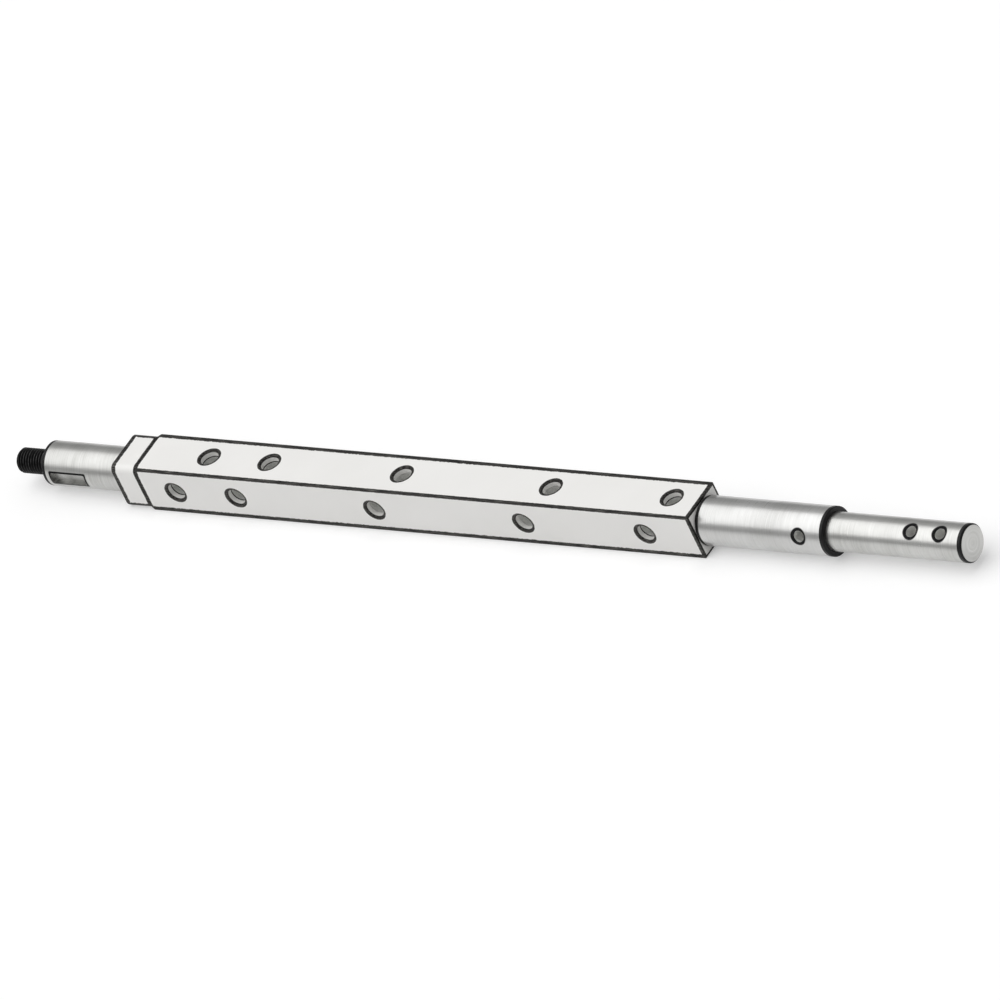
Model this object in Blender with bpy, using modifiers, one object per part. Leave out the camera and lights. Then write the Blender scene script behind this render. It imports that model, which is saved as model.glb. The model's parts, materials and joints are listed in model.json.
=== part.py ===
"""Square spreader beam with an end piece that slides in each end.

A hollow square beam is cross-drilled from its top and from its front. Each end piece has a square plug
that slides in the beam, and the plug's cross holes meet the beam's at both ends of the travel.
The drive end carries a keyed journal, a square collar and a threaded stud.
The outboard end carries a bearing sleeve and a drilled spigot.

Lengths are in metres. X runs along the beam, the front is -Y, and the beam lies on z = 0.
A station is a distance along X: from the beam's left end for the beam and the drive end,
and from the beam's right end for the outboard end.
"""

import math

import bmesh
import bpy

# Beam: a square hollow section, sharp outside and round-cornered inside.
# Its corners are turned off at the drive end, as far in as the collar's.
BEAM_LENGTH = 0.640
BEAM_SIDE = 0.050
BEAM_WALL = 0.0065
BEAM_EDGE_RADIUS = 0.0007
BEAM_INNER_RADIUS = 0.0075
BEAM_TURNING_ANGLE = math.radians(45)

# Bolt holes: setbacks run from the beam end that is named.
BOLT_HOLE_DIAMETER = 0.018
HOLE_PITCH = 0.070
DRIVE_FRONT_SETBACK = 0.038
DRIVE_TOP_SETBACK = 0.073
OUTBOARD_TOP_SETBACK = 0.032
OUTBOARD_FRONT_SETBACK = 0.059
MIDDLE_PAIR_SHARE = 0.442

# Bolt sleeves: they line the holes that no plug fills.
BOLT_SLEEVE_WALL = 0.003
BOLT_SLEEVE_CHAMFER = 0.0007
BOLT_SLEEVE_SPACING = 0.004
BOLT_SLEEVE_STANDOFF = 0.009

# Plugs, on the inner ends of both stubs.
PLUG_LAND = 0.012
PLUG_LEAD_IN = 0.002
RELIEF_LENGTH = 0.002
RELIEF_DEPTH = 0.001

# Drive end.
COLLAR_LENGTH = 0.028
COLLAR_CORNER_RADIUS = 0.007
COLLAR_EDGE_CHAMFER = 0.0008
JOURNAL_LENGTH = 0.091
JOURNAL_SHOULDER = 0.004
KEYWAY_LENGTH = 0.039
KEYWAY_WIDTH = 0.012
KEYWAY_DEPTH = 0.005
KEYWAY_SETBACK = 0.010
KEYWAY_CORNER_RADIUS = 0.0015
STUD_DIAMETER = 0.024
STUD_LENGTH = 0.037
STUD_ENGAGEMENT = 0.030
STUD_CHAMFER = 0.0025

# Outboard end.
SLEEVE_LENGTH = 0.146
SLEEVE_SHOULDER = 0.0015
SLEEVE_WALL = 0.0047
SLEEVE_CHAMFER = 0.0008
SPIGOT_LENGTH = 0.154
PIN_HOLE_DIAMETER = 0.011
SLEEVE_PIN_SETBACK = 0.028
SPIGOT_PIN_SETBACK = 0.026
SPIGOT_PIN_PITCH = 0.033
PIN_SWING = math.radians(20)

# Common to all pieces.
SHAFT_CHAMFER = 0.0015
FIT_GAP = 0.0003

# Colours, linear.
WHITE = (0.86, 0.86, 0.84)
BRIGHT_STEEL = (0.72, 0.72, 0.71)
GROUND_STEEL = (0.76, 0.76, 0.75)
TUBE_STEEL = (0.55, 0.55, 0.54)
BLACK = (0.02, 0.02, 0.02)

# Facets, and how far a cutting shape stands proud or a joined shape runs in.
TURNED_STEPS = 48
BOLT_HOLE_STEPS = 32
PIN_HOLE_STEPS = 24
CORNER_STEPS = 6
EDGE_STEPS = 2
OVERRUN = 0.005

# Directions of the cross holes, as angles up from the front (-Y).
FROM_FRONT = 0.0
FROM_TOP = math.radians(90)
FRONT_TOP_EDGE = math.radians(45)

# Sizes that follow from the ones above.
AXIS_HEIGHT = BEAM_SIDE / 2
CORNER_REACH = BEAM_SIDE / math.sqrt(2)
COLLAR_CORNER_REACH = CORNER_REACH - (math.sqrt(2) - 1) * COLLAR_CORNER_RADIUS
BORE_SIDE = BEAM_SIDE - 2 * BEAM_WALL
PLUG_SIDE = BORE_SIDE - 2 * FIT_GAP
PLUG_CORNER_RADIUS = BEAM_INNER_RADIUS - FIT_GAP
BOLT_HOLE_RADIUS = BOLT_HOLE_DIAMETER / 2
BOLT_SLEEVE_RADIUS = BOLT_HOLE_RADIUS + BOLT_SLEEVE_WALL
JOURNAL_RADIUS = BEAM_SIDE / 2 - JOURNAL_SHOULDER
STUD_RADIUS = STUD_DIAMETER / 2
SLEEVE_RADIUS = BEAM_SIDE / 2 - SLEEVE_SHOULDER
SPIGOT_RADIUS = SLEEVE_RADIUS - SLEEVE_WALL - FIT_GAP

# Stations of the drive end, from the beam's left end.
DRIVE_PLUG_END = DRIVE_TOP_SETBACK + HOLE_PITCH + BOLT_HOLE_RADIUS + PLUG_LAND
COLLAR_START = -FIT_GAP - COLLAR_LENGTH
JOURNAL_START = COLLAR_START - JOURNAL_LENGTH
STUD_START = JOURNAL_START - STUD_LENGTH
STUD_END = JOURNAL_START + STUD_ENGAGEMENT

# Stations of the outboard end, from the beam's right end.
OUTBOARD_PLUG_END = -(OUTBOARD_FRONT_SETBACK + HOLE_PITCH + BOLT_HOLE_RADIUS + PLUG_LAND)
SLEEVE_END = FIT_GAP + SLEEVE_LENGTH
SPIGOT_END = SLEEVE_END + SPIGOT_LENGTH

# Stations of the bolt holes, from the beam's left end. Bolt sleeves come in staggered pairs.
SLEEVE_STAGGER = 2 * BOLT_SLEEVE_RADIUS + BOLT_SLEEVE_SPACING
MIDDLE_STATION = MIDDLE_PAIR_SHARE * BEAM_LENGTH
RIGHT_STATION = BEAM_LENGTH + OUTBOARD_PLUG_END - BOLT_SLEEVE_STANDOFF - BOLT_SLEEVE_RADIUS
TOP_SLEEVE_STATIONS = (MIDDLE_STATION + SLEEVE_STAGGER / 2, RIGHT_STATION)
FRONT_SLEEVE_STATIONS = (MIDDLE_STATION - SLEEVE_STAGGER / 2, RIGHT_STATION - SLEEVE_STAGGER)
DRIVE_TOP_STATIONS = (DRIVE_TOP_SETBACK, DRIVE_TOP_SETBACK + HOLE_PITCH)
DRIVE_FRONT_STATIONS = (DRIVE_FRONT_SETBACK, DRIVE_FRONT_SETBACK + HOLE_PITCH)
TOP_STATIONS = DRIVE_TOP_STATIONS + TOP_SLEEVE_STATIONS + (BEAM_LENGTH - OUTBOARD_TOP_SETBACK,)
FRONT_STATIONS = DRIVE_FRONT_STATIONS + FRONT_SLEEVE_STATIONS + (BEAM_LENGTH - OUTBOARD_FRONT_SETBACK,)

# The whole object is centred on x = 0.
BEAM_LEFT_X = -(STUD_START + BEAM_LENGTH + SPIGOT_END) / 2

# Rotations that turn an object's own Z axis along X, Y or Z.
ALONG = {"X": (0, math.pi / 2, 0), "Y": (math.pi / 2, 0, 0), "Z": (0, 0, 0)}


def clear_scene():
    for obj in list(bpy.data.objects):
        bpy.data.objects.remove(obj, do_unlink=True)


def new_collection(name):
    collection = bpy.data.collections.new(name)
    bpy.context.scene.collection.children.link(collection)
    return collection


def new_material(name, colour, roughness, metallic):
    material = bpy.data.materials.new(name)
    material.use_nodes = True
    shader = material.node_tree.nodes["Principled BSDF"]
    shader.inputs["Base Color"].default_value = (*colour, 1.0)
    shader.inputs["Roughness"].default_value = roughness
    shader.inputs["Metallic"].default_value = metallic
    return material


def datum(name, x, collection):
    """Empty on the beam's axis, which the pieces of one body hang from."""
    empty = bpy.data.objects.new(name, None)
    empty.location = (x, 0, AXIS_HEIGHT)
    collection.objects.link(empty)
    return empty


def add_object(name, mesh, parent, station, collection):
    obj = bpy.data.objects.new(name, mesh)
    obj.parent = parent
    obj.location = (station, 0, 0)
    collection.objects.link(obj)
    return obj


def mesh_from(name, bm):
    mesh = bpy.data.meshes.new(name)
    bm.to_mesh(mesh)
    bm.free()
    return mesh


def as_tool(obj):
    """Mark an object that only cuts or joins another one."""
    obj.hide_render = True
    obj.display_type = 'WIRE'
    return obj


def square_bar(name, start, end, side, radius, steps, parent, collection, chamfers=()):
    """Bar along X with round long edges. chamfers holds (end, width) pairs, with end -1 or 1."""
    length = end - start
    bm = bmesh.new()
    bmesh.ops.create_cube(bm, size=1.0)
    bmesh.ops.scale(bm, vec=(length, side, side), verts=bm.verts)
    long_edges = [e for e in bm.edges if abs(e.verts[0].co.x - e.verts[1].co.x) > length / 2]
    bmesh.ops.bevel(bm, geom=long_edges, offset=radius, segments=steps, profile=0.5, affect='EDGES')
    for end_sign, width in chamfers:
        rim = [e for e in bm.edges if all(v.co.x * end_sign > length / 2 - FIT_GAP for v in e.verts)]
        bmesh.ops.bevel(bm, geom=rim, offset=width, segments=1, affect='EDGES')
    return add_object(name, mesh_from(name, bm), parent, (start + end) / 2, collection)


def turned(name, profile, parent, station, collection, axis="X", closed=False, steps=TURNED_STEPS):
    """Turned piece. Its profile has (place along the axis, radius) points, outer side from right to left."""
    points = [(radius, 0, place) for place, radius in profile]
    edges = [(i, i + 1) for i in range(len(points) - 1)]
    if closed:
        edges.append((len(points) - 1, 0))
    mesh = bpy.data.meshes.new(name)
    mesh.from_pydata(points, edges, [])
    obj = add_object(name, mesh, parent, station, collection)
    obj.rotation_euler = ALONG[axis]
    screw = obj.modifiers.new("turn", 'SCREW')
    screw.steps = steps
    screw.render_steps = steps
    screw.use_merge_vertices = True
    screw.merge_threshold = 0.00001
    screw.use_smooth_shade = True
    return obj


def ring(name, start, end, inner, outer, chamfer, parent, station, collection, axis="X", steps=TURNED_STEPS):
    """Turned tube with its outer edges chamfered."""
    profile = [(end, outer - chamfer), (end - chamfer, outer), (start + chamfer, outer),
               (start, outer - chamfer), (start, inner), (end, inner)]
    return turned(name, profile, parent, station, collection, axis, closed=True, steps=steps)


def cross_drill(name, station, angle, diameter, steps, parent, collection):
    """Drill across the axis at an angle up from the front, long enough for every piece it meets."""
    bm = bmesh.new()
    radius = diameter / 2
    bmesh.ops.create_cone(bm, cap_ends=True, segments=steps, radius1=radius, radius2=radius,
                          depth=BEAM_SIDE + 2 * OVERRUN)
    drill = add_object(name, mesh_from(name, bm), parent, station, collection)
    drill.rotation_euler = (FROM_TOP - angle, 0, 0)
    return as_tool(drill)


def combine(obj, operation, tools):
    for tool in tools:
        boolean = obj.modifiers.new(tool.name, 'BOOLEAN')
        boolean.operation = operation
        boolean.object = tool


def finish(obj, material):
    """Give the piece its material, and let large faces keep their own shading."""
    obj.data.materials.append(material)
    obj.data.shade_smooth()
    normals = obj.modifiers.new("normals", 'WEIGHTED_NORMAL')
    normals.keep_sharp = True


def bolt_drills(prefix, stations, angle, parent, collection):
    return [cross_drill(f"{prefix}_{i}", station, angle, BOLT_HOLE_DIAMETER, BOLT_HOLE_STEPS, parent,
                        collection)
            for i, station in enumerate(stations, 1)]


def relief_radius(shaft_radius):
    """Groove between a shaft and its plug, below both of them."""
    return min(PLUG_SIDE / 2, shaft_radius) - RELIEF_DEPTH


def build_beam(parent, pieces, tools, paint):
    beam = square_bar("beam_tube", 0, BEAM_LENGTH, BEAM_SIDE, BEAM_EDGE_RADIUS, EDGE_STEPS, parent, pieces)
    bore = square_bar("beam_bore", -OVERRUN, BEAM_LENGTH + OVERRUN, BORE_SIDE, BEAM_INNER_RADIUS,
                      CORNER_STEPS, parent, tools)
    combine(beam, 'INTERSECT', [beam_turning(parent, tools)])
    drills = bolt_drills("beam_top_drill", TOP_STATIONS, FROM_TOP, parent, tools)
    drills += bolt_drills("beam_front_drill", FRONT_STATIONS, FROM_FRONT, parent, tools)
    combine(beam, 'DIFFERENCE', [as_tool(bore)] + drills)
    finish(beam, paint)


def beam_turning(parent, tools):
    """Round blank that takes the corners off the beam's left end, down to the collar's corners."""
    slope = math.tan(BEAM_TURNING_ANGLE)
    right = BEAM_LENGTH + OVERRUN
    outer = CORNER_REACH + OVERRUN
    inner = COLLAR_CORNER_REACH - OVERRUN
    blank = turned("beam_turning", [
        (right, 0), (right, outer), ((outer - COLLAR_CORNER_REACH) * slope, outer),
        (-OVERRUN * slope, inner), (-OVERRUN * slope, 0)], parent, 0, tools)
    return as_tool(blank)


def build_bolt_sleeves(parent, pieces, steel):
    half_length = BORE_SIDE / 2 - FIT_GAP
    rows = (("top_bolt_sleeve", TOP_SLEEVE_STATIONS, "Z"), ("front_bolt_sleeve", FRONT_SLEEVE_STATIONS, "Y"))
    for prefix, stations, axis in rows:
        for i, station in enumerate(stations, 1):
            sleeve = ring(f"{prefix}_{i}", -half_length, half_length, BOLT_HOLE_RADIUS, BOLT_SLEEVE_RADIUS,
                          BOLT_SLEEVE_CHAMFER, parent, station, pieces, axis, BOLT_HOLE_STEPS)
            finish(sleeve, steel)


def build_drive_stub(parent, pieces, tools, steel):
    bore_radius = STUD_RADIUS + FIT_GAP
    bore_end = STUD_END + FIT_GAP
    groove = relief_radius(JOURNAL_RADIUS)
    stub = turned("drive_stub", [
        (RELIEF_LENGTH + OVERRUN, 0), (RELIEF_LENGTH + OVERRUN, groove), (-FIT_GAP, groove),
        (-FIT_GAP, JOURNAL_RADIUS), (JOURNAL_START + SHAFT_CHAMFER, JOURNAL_RADIUS),
        (JOURNAL_START, JOURNAL_RADIUS - SHAFT_CHAMFER), (JOURNAL_START, bore_radius),
        (bore_end, bore_radius), (bore_end, 0)], parent, 0, pieces)
    plug = square_bar("drive_plug", RELIEF_LENGTH, DRIVE_PLUG_END, PLUG_SIDE, PLUG_CORNER_RADIUS,
                      CORNER_STEPS, parent, tools, chamfers=[(1, PLUG_LEAD_IN)])
    combine(stub, 'UNION', [as_tool(plug)])
    drills = bolt_drills("drive_top_drill", DRIVE_TOP_STATIONS, FROM_TOP, parent, tools)
    drills += bolt_drills("drive_front_drill", DRIVE_FRONT_STATIONS, FROM_FRONT, parent, tools)
    combine(stub, 'DIFFERENCE', drills + [keyway_cutter(parent, tools)])
    finish(stub, steel)


def keyway_cutter(parent, tools):
    """Slot as long and wide as the keyway, centred on the journal's front surface."""
    bm = bmesh.new()
    bmesh.ops.create_cube(bm, size=1.0)
    bmesh.ops.scale(bm, vec=(KEYWAY_LENGTH, 2 * KEYWAY_DEPTH, KEYWAY_WIDTH), verts=bm.verts)
    corners = [e for e in bm.edges if abs(e.verts[0].co.y - e.verts[1].co.y) > KEYWAY_DEPTH]
    bmesh.ops.bevel(bm, geom=corners, offset=KEYWAY_CORNER_RADIUS, segments=EDGE_STEPS, profile=0.5,
                    affect='EDGES')
    station = JOURNAL_START + KEYWAY_SETBACK + KEYWAY_LENGTH / 2
    cutter = add_object("keyway_cutter", mesh_from("keyway_cutter", bm), parent, station, tools)
    cutter.location.y = -JOURNAL_RADIUS
    return as_tool(cutter)


def build_collar(parent, pieces, tools, paint):
    collar = square_bar("square_collar", COLLAR_START, -FIT_GAP, BEAM_SIDE, COLLAR_CORNER_RADIUS,
                        CORNER_STEPS, parent, pieces,
                        chamfers=[(-1, COLLAR_EDGE_CHAMFER), (1, COLLAR_EDGE_CHAMFER)])
    bore_radius = JOURNAL_RADIUS + FIT_GAP
    bore_start = COLLAR_START - OVERRUN
    bore = turned("collar_bore", [
        (OVERRUN, 0), (OVERRUN, bore_radius), (bore_start, bore_radius), (bore_start, 0)], parent, 0, tools)
    combine(collar, 'DIFFERENCE', [as_tool(bore)])
    finish(collar, paint)


def build_stud(parent, pieces, black):
    stud = turned("threaded_stud", [
        (STUD_END, 0), (STUD_END, STUD_RADIUS - STUD_CHAMFER), (STUD_END - STUD_CHAMFER, STUD_RADIUS),
        (STUD_START + STUD_CHAMFER, STUD_RADIUS), (STUD_START, STUD_RADIUS - STUD_CHAMFER), (STUD_START, 0)],
        parent, 0, pieces)
    finish(stud, black)


def build_outboard_stub(parent, pieces, tools, steel):
    groove = relief_radius(SPIGOT_RADIUS)
    inner = -RELIEF_LENGTH - OVERRUN
    stub = turned("outboard_stub", [
        (SPIGOT_END, 0), (SPIGOT_END, SPIGOT_RADIUS - SHAFT_CHAMFER),
        (SPIGOT_END - SHAFT_CHAMFER, SPIGOT_RADIUS), (FIT_GAP, SPIGOT_RADIUS), (FIT_GAP, groove),
        (inner, groove), (inner, 0)], parent, 0, pieces)
    plug = square_bar("outboard_plug", OUTBOARD_PLUG_END, -RELIEF_LENGTH, PLUG_SIDE, PLUG_CORNER_RADIUS,
                      CORNER_STEPS, parent, tools, chamfers=[(-1, PLUG_LEAD_IN)])
    combine(stub, 'UNION', [as_tool(plug)])
    top_stations = (-OUTBOARD_TOP_SETBACK, -OUTBOARD_TOP_SETBACK - HOLE_PITCH)
    front_stations = (-OUTBOARD_FRONT_SETBACK, -OUTBOARD_FRONT_SETBACK - HOLE_PITCH)
    drills = bolt_drills("outboard_top_drill", top_stations, FROM_TOP, parent, tools)
    drills += bolt_drills("outboard_front_drill", front_stations, FROM_FRONT, parent, tools)
    drills += [cross_drill(f"spigot_pin_drill_{i}", SPIGOT_END - SPIGOT_PIN_SETBACK - i * SPIGOT_PIN_PITCH,
                           FRONT_TOP_EDGE + PIN_SWING, PIN_HOLE_DIAMETER, PIN_HOLE_STEPS, parent, tools)
               for i in range(2)]
    combine(stub, 'DIFFERENCE', drills + [sleeve_pin_drill("stub_pin_drill", parent, tools)])
    finish(stub, steel)


def sleeve_pin_drill(name, parent, tools):
    """Drill for the pin hole that the bearing sleeve and the bar inside it share."""
    return cross_drill(name, SLEEVE_END - SLEEVE_PIN_SETBACK, FRONT_TOP_EDGE - PIN_SWING,
                       PIN_HOLE_DIAMETER, PIN_HOLE_STEPS, parent, tools)


def build_bearing_sleeve(parent, pieces, tools, steel):
    sleeve = ring("bearing_sleeve", FIT_GAP, SLEEVE_END, SPIGOT_RADIUS + FIT_GAP, SLEEVE_RADIUS,
                  SLEEVE_CHAMFER, parent, 0, pieces)
    combine(sleeve, 'DIFFERENCE', [sleeve_pin_drill("sleeve_pin_drill", parent, tools)])
    finish(sleeve, steel)


def build():
    clear_scene()
    pieces = new_collection("spreader_beam")
    tools = new_collection("spreader_beam_cutters")
    beam_datum = datum("beam_datum", BEAM_LEFT_X, pieces)
    drive_slide = datum("drive_end_slide_axis", BEAM_LEFT_X, pieces)
    outboard_slide = datum("outboard_end_slide_axis", BEAM_LEFT_X + BEAM_LENGTH, pieces)

    build_beam(beam_datum, pieces, tools, new_material("beam_paint", WHITE, 0.40, 0.0))
    build_bolt_sleeves(beam_datum, pieces, new_material("bolt_sleeve_tube", TUBE_STEEL, 0.45, 1.0))
    build_drive_stub(drive_slide, pieces, tools, new_material("turned_journal", BRIGHT_STEEL, 0.28, 1.0))
    build_collar(drive_slide, pieces, tools, new_material("collar_paint", WHITE, 0.40, 0.0))
    build_stud(drive_slide, pieces, new_material("black_oxide", BLACK, 0.50, 0.6))
    build_outboard_stub(outboard_slide, pieces, tools, new_material("bright_bar", BRIGHT_STEEL, 0.28, 1.0))
    ground_steel = new_material("ground_sleeve", GROUND_STEEL, 0.22, 1.0)
    build_bearing_sleeve(outboard_slide, pieces, tools, ground_steel)


build()
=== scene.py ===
"""Spreader beam on a white studio floor, with a finished piece in place of each solid of the frame.

Lengths are in metres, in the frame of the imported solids: X runs along the beam, the front is -Y and
the beam lies on z = 0. Every piece is modelled in place, so its object sits at the origin.
"""

import json
import math

import bmesh
import bpy
from mathutils import Matrix, Vector


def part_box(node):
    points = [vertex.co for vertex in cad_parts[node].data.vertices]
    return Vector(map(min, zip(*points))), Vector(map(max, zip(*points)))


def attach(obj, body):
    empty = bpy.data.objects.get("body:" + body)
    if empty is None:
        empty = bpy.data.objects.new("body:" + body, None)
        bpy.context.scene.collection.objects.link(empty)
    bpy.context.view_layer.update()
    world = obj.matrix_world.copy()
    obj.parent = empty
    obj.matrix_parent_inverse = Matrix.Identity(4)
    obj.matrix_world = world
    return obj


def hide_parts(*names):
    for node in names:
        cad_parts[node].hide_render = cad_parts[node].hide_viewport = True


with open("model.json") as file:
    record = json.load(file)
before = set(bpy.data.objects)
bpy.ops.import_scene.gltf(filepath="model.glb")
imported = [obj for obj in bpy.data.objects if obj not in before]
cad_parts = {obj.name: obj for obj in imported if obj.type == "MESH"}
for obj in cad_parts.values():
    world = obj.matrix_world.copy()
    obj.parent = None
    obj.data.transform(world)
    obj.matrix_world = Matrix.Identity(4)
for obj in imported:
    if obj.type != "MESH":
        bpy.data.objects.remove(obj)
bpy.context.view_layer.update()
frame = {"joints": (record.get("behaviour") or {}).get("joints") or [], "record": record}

MM = 0.001

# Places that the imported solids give.
BEAM_LOW, BEAM_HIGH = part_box("beam_tube")
COLLAR_LOW, COLLAR_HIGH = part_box("square_collar")
DRIVE_LOW, DRIVE_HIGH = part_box("drive_stub")
STUD_LOW, STUD_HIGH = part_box("threaded_stud")
OUTBOARD_LOW, OUTBOARD_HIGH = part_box("outboard_stub")
SLEEVE_LOW, SLEEVE_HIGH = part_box("bearing_sleeve")
AXIS_Z = (BEAM_LOW.z + BEAM_HIGH.z) / 2
AXIS_POINT = (0, 0, AXIS_Z)
BEAM_HALF = (BEAM_HIGH.z - BEAM_LOW.z) / 2
SLEEVE_RADIUS = SLEEVE_HIGH.y
JOURNAL_RADIUS = DRIVE_HIGH.y
STUD_RADIUS = STUD_HIGH.y
SLIDE_TRAVEL = frame["joints"][0]["range_m"][1]

# Sizes that the boxes don't give, as in the solids.
FIT_GAP = 0.3 * MM
BEAM_WALL = 6.5 * MM
BEAM_EDGE_RADIUS = 0.7 * MM
BEAM_END_BREAK = 0.5 * MM
BORE_CORNER_RADIUS = 7.5 * MM
BEAM_TURNING_SLOPE = math.tan(math.radians(45))
BOLT_HOLE_RADIUS = 9 * MM
BOLT_HOLE_BREAK = 1.3 * MM
BOLT_SLEEVE_WALL = 3 * MM
BOLT_SLEEVE_BREAK = 0.7 * MM
PLUG_LEAD_IN = 2 * MM
PLUG_HOLE_BREAK = 0.9 * MM
RELIEF_LENGTH = 2 * MM
RELIEF_DEPTH = 1 * MM
COLLAR_CORNER_RADIUS = 7 * MM
COLLAR_END_BREAK = 0.8 * MM
SHAFT_BREAK = 1.5 * MM
KEYWAY_WIDTH = 12 * MM
KEYWAY_DEPTH = 5 * MM
KEYWAY_LENGTH = 39 * MM
KEYWAY_CORNER_RADIUS = 1.5 * MM
SLEEVE_WALL = 4.7 * MM
SLEEVE_BREAK = 0.8 * MM
PIN_HOLE_RADIUS = 5.5 * MM
PIN_HOLE_BREAK = 1.6 * MM
THREAD_PITCH = 3 * MM
THREAD_DEPTH = 0.6134 * THREAD_PITCH
STUD_BREAK = 2.5 * MM

# Widths of the marks on the finishes.
BEAM_EDGE_RUB = 2.4 * MM
BEAM_WIDE_RUB = 4.8 * MM
BEAM_END_RUB = 2.9 * MM
COLLAR_EDGE_RUB = 2.8 * MM
COLLAR_WIDE_RUB = 7 * MM
COLLAR_END_RUB = 5 * MM
JOINT_RUB = 2.3 * MM
END_FACE_RUB = 2.4 * MM
HOLE_RING = 3 * MM
KEYWAY_RIM = 1.9 * MM
BLACK_EDGE = 3 * MM
OXIDE_RUB_DEPTH = 0.25 * MM
OXIDE_EDGE_SPARE = 0.1 * MM

# Share of a mark's width over which it fades on either side of its border.
RUB_FADE = 0.25
RING_FADE = 0.13

# Sizes that follow from those.
CORNER_REACH = BEAM_HALF * math.sqrt(2)
COLLAR_CORNER_REACH = CORNER_REACH - (math.sqrt(2) - 1) * COLLAR_CORNER_RADIUS
BORE_HALF = BEAM_HALF - BEAM_WALL
PLUG_HALF = BORE_HALF - FIT_GAP
PLUG_CORNER_RADIUS = BORE_CORNER_RADIUS - FIT_GAP
SPIGOT_RADIUS = SLEEVE_RADIUS - SLEEVE_WALL - FIT_GAP
RELIEF_RADIUS = PLUG_HALF - RELIEF_DEPTH

# Directions of the cross holes, as angles up from the front.
FROM_FRONT = 0.0
FROM_TOP = math.radians(90)
SPIGOT_PIN_ANGLE = math.radians(65)
SLEEVE_PIN_ANGLE = math.radians(25)

# How far a cutting shape stands proud, and how far a joined shape runs in.
OVERRUN = 5 * MM

# How near two points are merged, and how sharp an edge still shades as round.
MERGE_DISTANCE = 0.001 * MM
SMOOTH_ANGLE = math.radians(32)

# Facets.
ROUND_STEPS = 128
HOLE_STEPS = 64
CORNER_STEPS = 10
EDGE_STEPS = 4
THREAD_STEPS = 72

# The pieces are turned along Z at the origin, and this lays them along the beam's axis.
ALONG_BEAM = Matrix.Translation(AXIS_POINT) @ Matrix.Rotation(math.pi / 2, 4, 'Y')

# Places of the holes, from the openings that the record states.
openings = {opening["name"]: opening["box_m"] for opening in frame["record"]["physics"]["openings"]}


def opening_x(name):
    low, high = openings[name]
    return (low[0] + high[0]) / 2


TOP_HOLES = [opening_x(f"top_hole_{i}") for i in range(1, 6)]
FRONT_HOLES = [opening_x(f"front_hole_{i}") for i in range(1, 6)]
SPIGOT_PIN_HOLES = [opening_x(f"spigot_pin_hole_{i}_top") for i in (1, 2)]
SLEEVE_PIN_HOLE = opening_x("sleeve_pin_hole_front")
KEYWAY_X = opening_x("keyway")


# Finishes.

def colour(code):
    """Linear colour of an sRGB hex value."""
    channels = [int(code[i:i + 2], 16) / 255 for i in (1, 3, 5)]
    return tuple(c / 12.92 if c <= 0.04045 else ((c + 0.055) / 1.055) ** 2.4 for c in channels) + (1.0,)


def add(tree, kind, inputs=None, **settings):
    """Add a node with its settings, and set or link its inputs."""
    node = tree.nodes.new(kind)
    for name, value in settings.items():
        setattr(node, name, value)
    for socket, value in (inputs or {}).items():
        if isinstance(value, bpy.types.NodeSocket):
            tree.links.new(value, node.inputs[socket])
        else:
            node.inputs[socket].default_value = value
    return node


def new_finish(name):
    """Material with a bare shader. Returns it with its tree, shader and Object coordinates."""
    material = bpy.data.materials.new(name)
    material.use_nodes = True
    tree = material.node_tree
    shader = tree.nodes["Principled BSDF"]
    place = add(tree, "ShaderNodeTexCoord").outputs["Object"]
    return material, tree, shader, place


def from_axis(tree, place):
    """Offset from the beam's axis, across the beam."""
    offset = add(tree, "ShaderNodeVectorMath", {0: place, 1: AXIS_POINT}, operation='SUBTRACT').outputs[0]
    return add(tree, "ShaderNodeVectorMath", {0: offset, 1: (0, 1, 1)}, operation='MULTIPLY').outputs[0]


def gap_to_holes(tree, place, holes, angle):
    """Distance from the nearest axis of the holes that cross the beam at these places, at one angle."""
    axis = (0, -math.cos(angle), math.sin(angle))
    nearest = 1.0
    for x in holes:
        middle = (x, 0, AXIS_Z)
        offset = add(tree, "ShaderNodeVectorMath", {0: place, 1: middle}, operation='SUBTRACT').outputs[0]
        aside = add(tree, "ShaderNodeVectorMath", {0: offset, 1: axis}, operation='CROSS_PRODUCT').outputs[0]
        gap = add(tree, "ShaderNodeVectorMath", {0: aside}, operation='LENGTH').outputs["Value"]
        nearest = add(tree, "ShaderNodeMath", {0: nearest, 1: gap}, operation='MINIMUM').outputs[0]
    return nearest


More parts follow.
